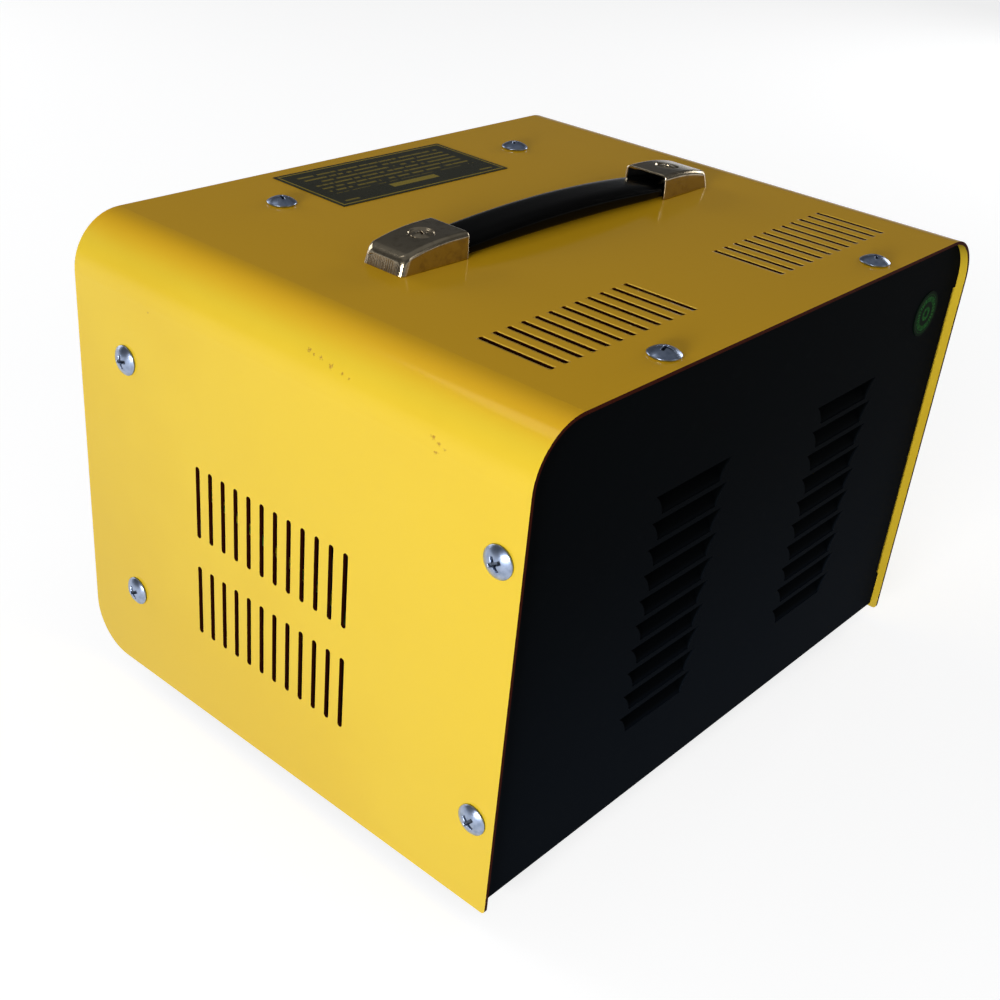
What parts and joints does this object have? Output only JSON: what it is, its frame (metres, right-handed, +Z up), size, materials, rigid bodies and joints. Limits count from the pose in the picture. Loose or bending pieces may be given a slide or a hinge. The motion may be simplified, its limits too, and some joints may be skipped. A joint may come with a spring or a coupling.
{
  "type": "battery charger",
  "caption": "Bench transformer battery charger: glossy folded steel cover with a strap handle on a louvred black chassis, with an ammeter and a rocker switch in front.",
  "frame": {"origin": "middle of the footprint, on the plane that the feet rest on", "axes": "+X across the width to the side with the mains inlet, -Y to the front panel, +Y to the louvred rear, +Z up"},
  "size_m": [0.2492, 0.191, 0.1769],
  "materials": {
    "cover_paint": "gloss yellow stove enamel",
    "chassis_paint": "satin black paint",
    "bright_zinc": "bright zinc plating",
    "polished_cap": "polished plated pressing",
    "spring_steel": "blued strip",
    "grip_vinyl": "glossy soft vinyl",
    "black_rubber": "matt moulded rubber",
    "black_plastic": "fine satin moulding",
    "label_film": "printed film",
    "sticker_film": "printed film",
    "dial_white": "matt printed dial",
    "clear_window": "clear moulded window",
    "dark_metal": "dark lacquered metal",
    "pointer_black": "black painted",
    "brass": "tinned or plain brass",
    "switch_red": "glossy moulding",
    "fuse_glass": "glass tube with end caps",
    "ivory_plastic": "moulded nylon",
    "core_steel": "varnished laminations",
    "winding_tape": "insulating tape over enamelled wire",
    "bracket_zinc": "plated folded sheet",
    "black_anodised": "black anodised extrusion",
    "rectifier_plastic": "moulded block",
    "lead_green_yellow": "PVC covered wire",
    "lead_brown": "PVC covered wire",
    "lead_blue": "PVC covered wire",
    "lead_black": "PVC covered wire",
    "lead_red": "PVC covered wire"
  },
  "bodies": {
    "case": {"cover": "cover_paint", "chassis": "chassis_paint", "cover_screws": "bright_zinc", "rubber_feet": "black_rubber", "foot_screws": "bright_zinc", "foot_nuts": "bright_zinc", "handle_grip": "grip_vinyl", "handle_strip": "spring_steel", "handle_cap_right": "polished_cap", "handle_cap_left": "polished_cap", "handle_screws": "bright_zinc", "handle_washers": "bright_zinc", "handle_nuts": "bright_zinc", "top_label": "label_film", "rear_sticker": "sticker_film", "meter_case": "black_plastic", "meter_dial": "dial_white", "meter_window": "clear_window", "meter_movement": "dark_metal", "meter_nuts": "bright_zinc", "meter_terminals": "brass", "switch_body": "black_plastic", "spade_terminals": "brass", "fuse_holder": "black_plastic", "fuse": "fuse_glass", "fuse_cap": "black_plastic", "fuse_nut": "black_plastic", "mains_grommet": "black_rubber", "output_grommets": "black_rubber", "terminal_block": "ivory_plastic", "terminal_screws": "bright_zinc", "clamp_screws": "brass", "transformer_core": "core_steel", "bobbin": "ivory_plastic", "primary_winding": "winding_tape", "secondary_winding": "winding_tape", "core_bracket_front": "bracket_zinc", "core_bracket_rear": "bracket_zinc", "core_bolts": "bright_zinc", "core_nuts": "bright_zinc", "bracket_screws": "bright_zinc", "bracket_nuts": "bright_zinc", "heat_sink": "black_anodised", "heat_sink_screws": "bright_zinc", "bridge_rectifier": "rectifier_plastic", "rectifier_screw": "bright_zinc", "earth_stud": "bright_zinc", "earth_lug": "brass", "earth_nut": "bright_zinc", "earth_lead": "lead_green_yellow", "fuse_lead": "lead_brown", "switch_lead": "lead_brown", "primary_lead": "lead_brown", "neutral_lead": "lead_blue", "secondary_leads": "lead_black", "meter_lead": "lead_red"},
    "rocker": {"switch_rocker": "switch_red"},
    "pointer": {"meter_pointer": "pointer_black"}
  },
  "joints": [
    {"name": "rocker_hinge", "type": "hinge", "parent": "case", "child": "rocker", "pos_m": [0.022, -0.0715, 0.111], "axis": [1, 0, 0], "range_deg": [0, 18.8]},
    {"name": "pointer_pivot", "type": "hinge", "parent": "case", "child": "pointer", "pos_m": [-0.048, -0.0803, 0.097], "axis": [0, 1, 0], "range_deg": [0, 90], "stiffness_Nm_per_rad": 0.00002}
  ]
}
